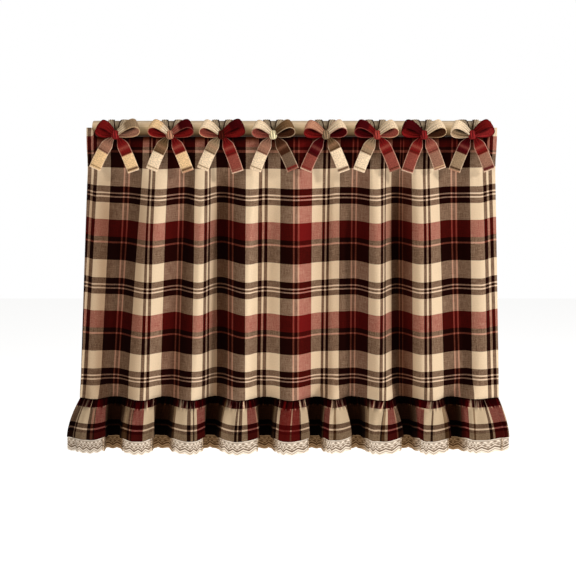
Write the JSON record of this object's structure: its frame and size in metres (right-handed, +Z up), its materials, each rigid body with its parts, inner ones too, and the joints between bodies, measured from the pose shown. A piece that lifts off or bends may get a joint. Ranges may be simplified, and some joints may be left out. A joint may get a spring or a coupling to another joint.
{
  "type": "tie-top cafe curtain on a rod",
  "caption": "Short plaid cotton cafe curtain hung from a plain round rod by tied fabric bows, with a gathered ruffle and scalloped lace along its hem.",
  "frame": {"origin": "on the rod's axis, half way along the rod", "axes": "+X along the rod to the right as seen from the room, -Y towards the room, +Z up"},
  "size_m": [0.8181, 0.0668, 0.6208],
  "materials": {
    "rod": "pale wood with a satin finish",
    "plaid_cotton": "soft matt weave, burgundy, black and cream plaid",
    "lace": "matt cream cotton lace"
  },
  "bodies": {
    "root": {"rod": "rod", "panel": "plaid_cotton", "ruffle": "plaid_cotton", "lace_edging": "lace", "bow_1": "plaid_cotton", "bow_2": "plaid_cotton", "bow_3": "plaid_cotton", "bow_4": "plaid_cotton", "bow_5": "plaid_cotton", "bow_6": "plaid_cotton", "bow_7": "plaid_cotton", "bow_8": "plaid_cotton"}
  },
  "joints": []
}
